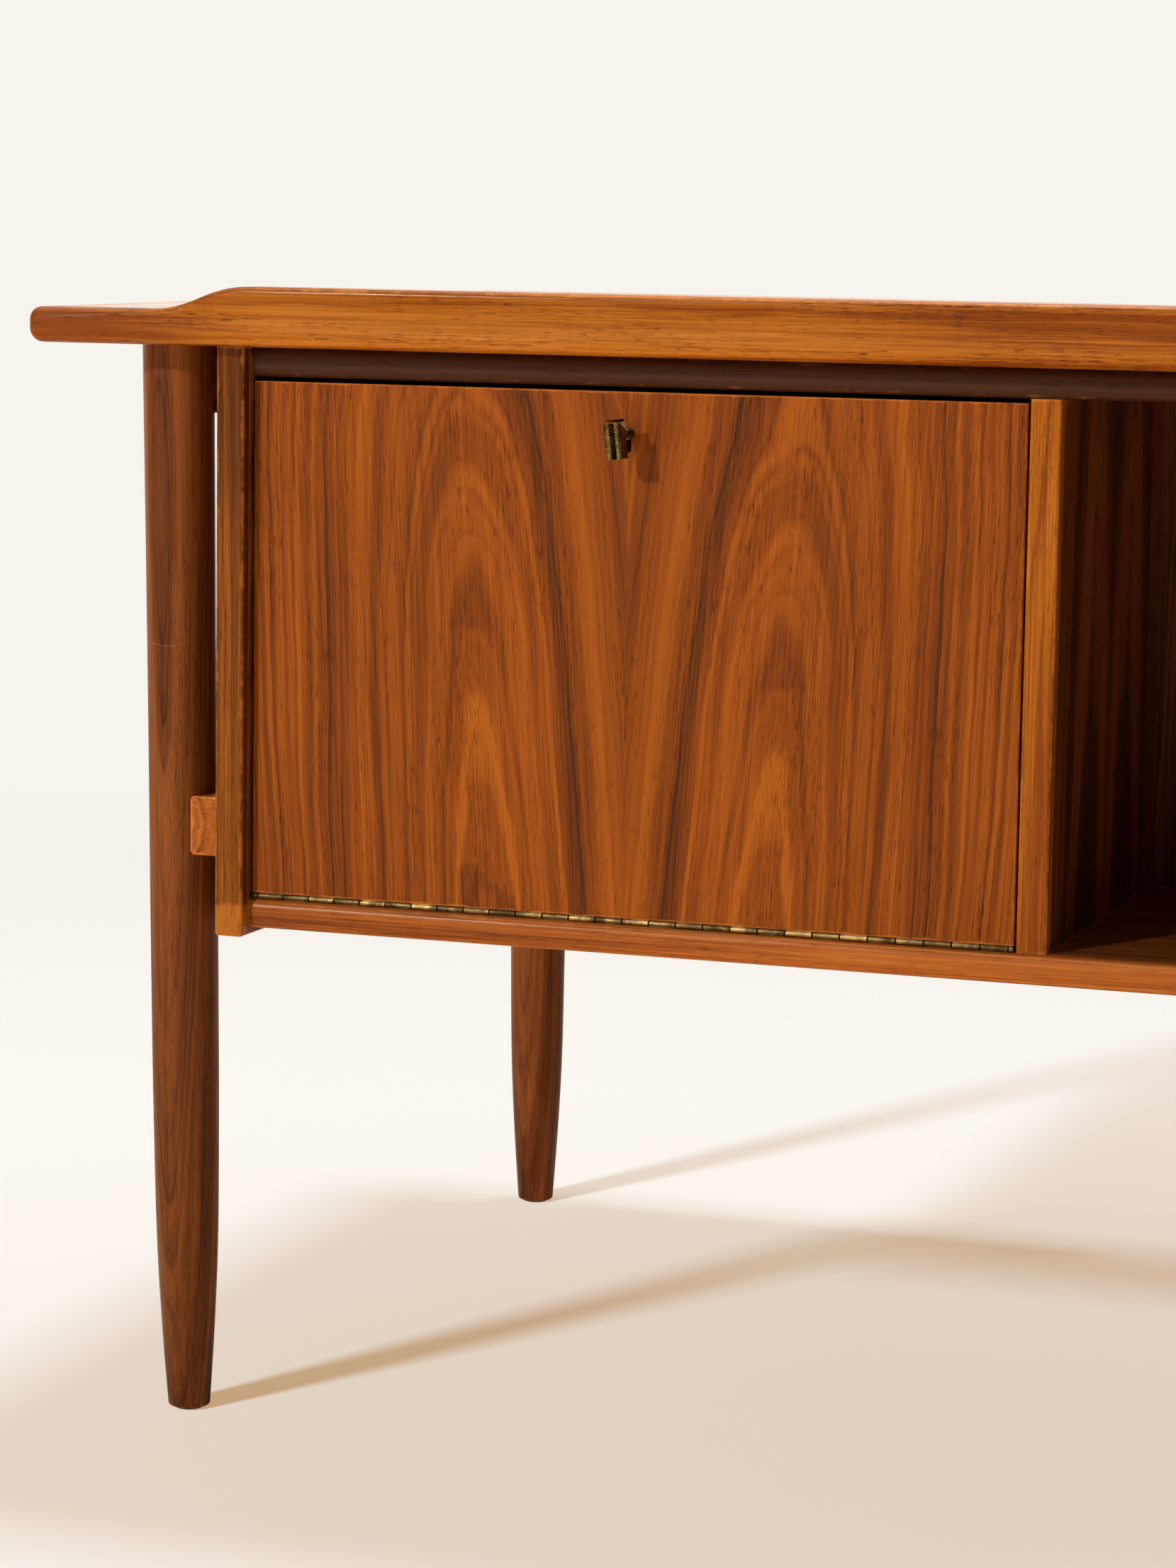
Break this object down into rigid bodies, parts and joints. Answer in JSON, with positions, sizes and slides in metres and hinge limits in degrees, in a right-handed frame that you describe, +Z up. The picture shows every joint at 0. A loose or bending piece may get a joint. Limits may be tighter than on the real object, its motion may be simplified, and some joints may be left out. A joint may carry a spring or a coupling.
{
  "type": "writing desk",
  "caption": "Free-standing writing desk on turned legs, with drawer pedestals, kneehole, and a bookcase with a lockable drop-front cabinet on the visitor's side.",
  "frame": {"origin": "on the floor, under the middle of the desk's bounding box", "axes": "+Z up, +X along the desk to the right as seen from the visitor's side, +Y towards the sitter"},
  "size_m": [1.65, 0.8, 0.7375],
  "materials": {
    "top_veneer": "satin lacquered walnut veneer",
    "edging": "satin lacquered solid wood",
    "leg_wood": "satin oiled solid walnut",
    "rail_wood": "satin oiled solid walnut",
    "felt": "pressed felt",
    "brass": "aged brass",
    "lock_steel": "brushed",
    "lipping": "satin lacquered pale lipping",
    "board_nose": "satin lacquered solid walnut",
    "carcass_veneer": "satin lacquered walnut veneer",
    "door_veneer": "satin lacquered bookmatched walnut veneer",
    "drawer_front": "satin lacquered walnut veneer",
    "drawer_wood": "waxed beech"
  },
  "bodies": {
    "cabinet": {"top_panel": "top_veneer", "top_edge_visitor": "edging", "top_edge_sitter": "edging", "top_edge_left": "edging", "top_edge_right": "edging", "leg_visitor_left": "leg_wood", "leg_visitor_right": "leg_wood", "leg_sitter_left": "leg_wood", "leg_sitter_right": "leg_wood", "lower_side_rail_left": "rail_wood", "lower_side_rail_right": "rail_wood", "upper_side_rail_left": "rail_wood", "upper_side_rail_right": "rail_wood", "felt_glides": "felt", "rail_screws": "brass", "hinge_leaf_board": "brass", "hinge_pin": "brass", "hinge_screws_board": "brass", "strike_plate": "brass", "stay_guide_studs": "brass", "side_lippings_left": "lipping", "side_lippings_right": "lipping", "partition_lipping": "lipping", "ceiling_board_noses": "board_nose", "bookcase_bottom_nose": "board_nose", "side_panel_left": "carcass_veneer", "side_panel_right": "carcass_veneer", "ceiling_board": "carcass_veneer", "bookcase_bottom": "carcass_veneer", "bookcase_back": "carcass_veneer", "partition": "carcass_veneer", "pedestal_side_left": "carcass_veneer", "pedestal_side_right": "carcass_veneer", "pedestal_bottom_left": "carcass_veneer", "pedestal_bottom_right": "carcass_veneer", "drawer_runners": "drawer_wood"},
    "door": {"door_panel": "door_veneer", "keyhole_escutcheon": "brass", "hinge_leaf_door": "brass", "hinge_screws_door": "brass", "stay_door_brackets": "brass", "lock_case": "lock_steel"},
    "key": {"key": "brass"},
    "lock_bolt": {"lock_bolt": "lock_steel"},
    "stay_bar_left": {"stay_bar_left": "brass"},
    "stay_guide_left": {"stay_guide_left": "brass"},
    "stay_bar_right": {"stay_bar_right": "brass"},
    "stay_guide_right": {"stay_guide_right": "brass"},
    "drawer_left_bottom": {"drawer_front_left_bottom": "drawer_front", "drawer_box_left_bottom": "drawer_wood"},
    "drawer_left_middle": {"drawer_front_left_middle": "drawer_front", "drawer_box_left_middle": "drawer_wood"},
    "drawer_left_top": {"drawer_front_left_top": "drawer_front", "drawer_box_left_top": "drawer_wood"},
    "drawer_right_bottom": {"drawer_front_right_bottom": "drawer_front", "drawer_box_right_bottom": "drawer_wood"},
    "drawer_right_middle": {"drawer_front_right_middle": "drawer_front", "drawer_box_right_middle": "drawer_wood"},
    "drawer_right_top": {"drawer_front_right_top": "drawer_front", "drawer_box_right_top": "drawer_wood"}
  },
  "joints": [
    {"name": "door_hinge", "type": "hinge", "parent": "cabinet", "child": "door", "pos_m": [-0.4332, -0.3674, 0.35115], "axis": [1, 0, 0], "range_deg": [0, 90]},
    {"name": "key_turn", "type": "hinge", "parent": "door", "child": "key", "pos_m": [-0.4332, -0.367, 0.6527], "axis": [0, -1, 0], "range_deg": [0, 90]},
    {"name": "bolt_slide", "type": "slide", "parent": "door", "child": "lock_bolt", "axis": [0, 0, 1], "range_m": [0, 0.008]},
    {"name": "stay_bar_left_pivot", "type": "hinge", "parent": "door", "child": "stay_bar_left", "pos_m": [-0.6756, -0.3404, 0.46615], "axis": [1, 0, 0], "range_deg": [-45, 0]},
    {"name": "stay_guide_left_pivot", "type": "hinge", "parent": "cabinet", "child": "stay_guide_left", "pos_m": [-0.6756, -0.28957, 0.44001], "axis": [1, 0, 0], "range_deg": [0, 45]},
    {"name": "stay_bar_right_pivot", "type": "hinge", "parent": "door", "child": "stay_bar_right", "pos_m": [-0.1908, -0.3404, 0.46615], "axis": [1, 0, 0], "range_deg": [-45, 0]},
    {"name": "stay_guide_right_pivot", "type": "hinge", "parent": "cabinet", "child": "stay_guide_right", "pos_m": [-0.1908, -0.28957, 0.44001], "axis": [1, 0, 0], "range_deg": [0, 45]},
    {"name": "drawer_left_bottom_slide", "type": "slide", "parent": "cabinet", "child": "drawer_left_bottom", "axis": [0, 1, 0], "range_m": [0, 0.3]},
    {"name": "drawer_left_middle_slide", "type": "slide", "parent": "cabinet", "child": "drawer_left_middle", "axis": [0, 1, 0], "range_m": [0, 0.3]},
    {"name": "drawer_left_top_slide", "type": "slide", "parent": "cabinet", "child": "drawer_left_top", "axis": [0, 1, 0], "range_m": [0, 0.3]},
    {"name": "drawer_right_bottom_slide", "type": "slide", "parent": "cabinet", "child": "drawer_right_bottom", "axis": [0, 1, 0], "range_m": [0, 0.3]},
    {"name": "drawer_right_middle_slide", "type": "slide", "parent": "cabinet", "child": "drawer_right_middle", "axis": [0, 1, 0], "range_m": [0, 0.3]},
    {"name": "drawer_right_top_slide", "type": "slide", "parent": "cabinet", "child": "drawer_right_top", "axis": [0, 1, 0], "range_m": [0, 0.3]}
  ],
  "couplings": [
    {"joint": "bolt_slide", "follows": "key_turn", "m_per_rad": 0.005093},
    {"joint": "stay_bar_left_pivot", "follows": "door_hinge", "ratio": -0.5},
    {"joint": "stay_guide_left_pivot", "follows": "door_hinge", "ratio": 0.5},
    {"joint": "stay_bar_right_pivot", "follows": "door_hinge", "ratio": -0.5},
    {"joint": "stay_guide_right_pivot", "follows": "door_hinge", "ratio": 0.5}
  ]
}
